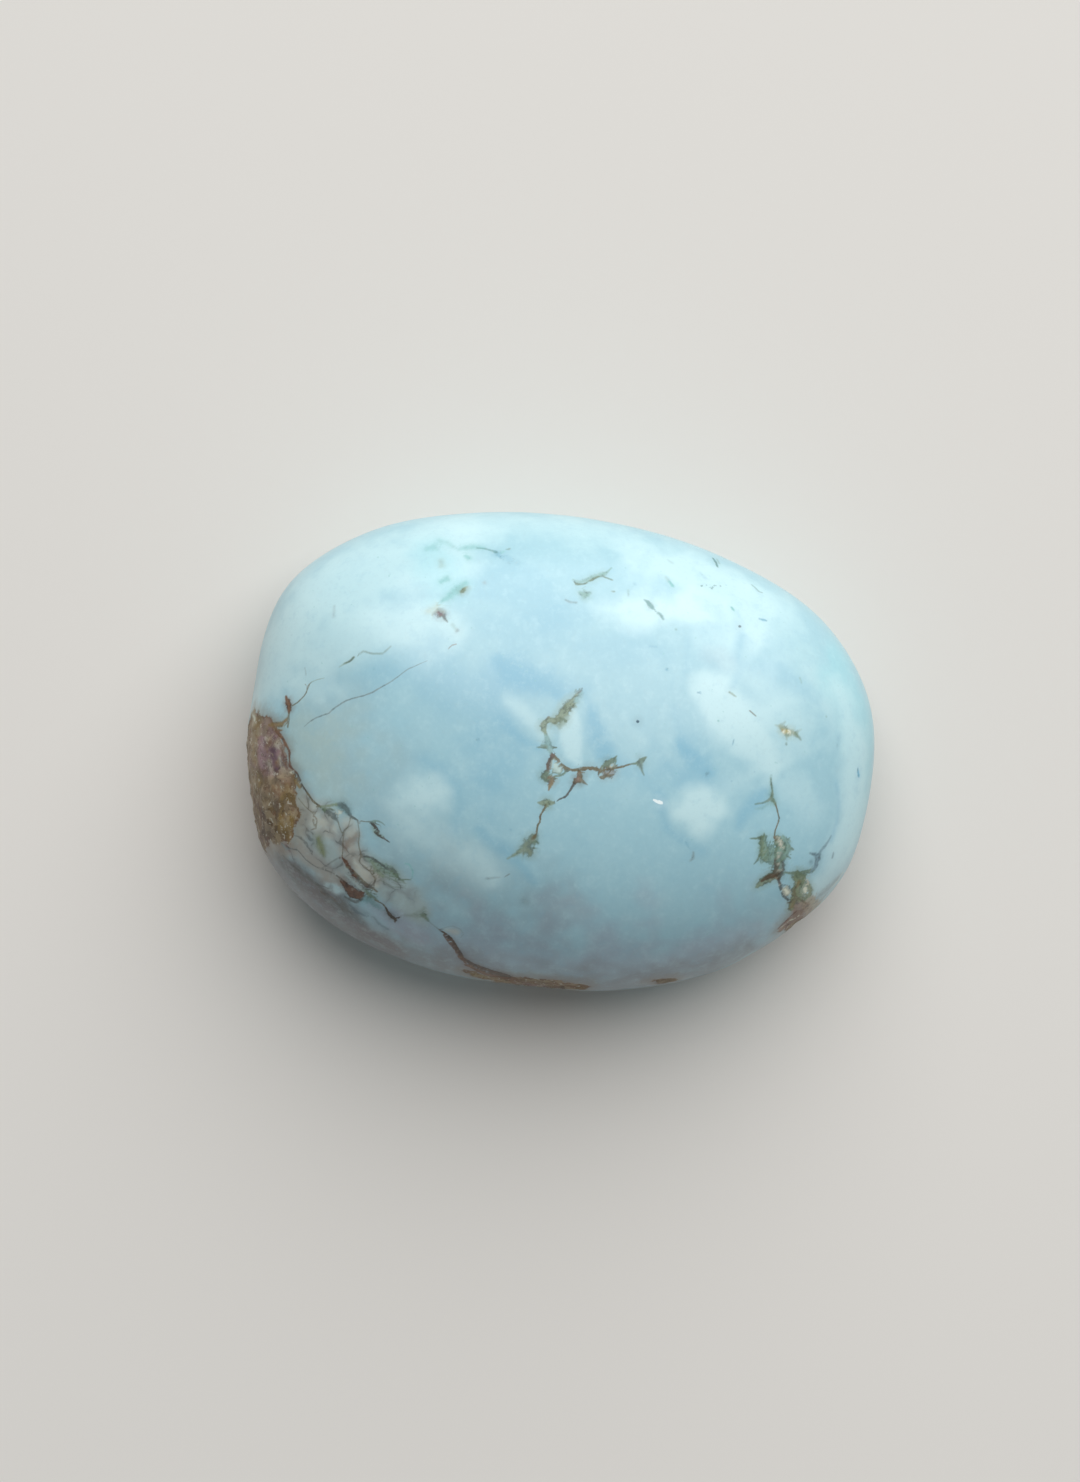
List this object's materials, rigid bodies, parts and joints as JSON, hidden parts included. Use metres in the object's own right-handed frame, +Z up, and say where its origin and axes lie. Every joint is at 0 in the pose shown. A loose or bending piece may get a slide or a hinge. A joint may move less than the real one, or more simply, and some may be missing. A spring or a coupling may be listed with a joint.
{
  "type": "polished turquoise nugget",
  "caption": "Smooth oval pebble of pale blue turquoise with fine brown matrix veins, domed on top and flat underneath, for display or setting in jewellery.",
  "frame": {"origin": "on the flat back, under the middle of the stone's outline", "axes": "+X along the long axis towards the rounder end, +Y across, +Z up through the dome"},
  "size_m": [0.025, 0.019, 0.0095],
  "materials": {
    "turquoise": "polished pale blue turquoise with whitish nodules and thin olive-brown matrix veins; soft waxy lustre, matt on the rubbed back"
  },
  "bodies": {
    "root": {"turquoise_stone": "turquoise"}
  },
  "joints": []
}
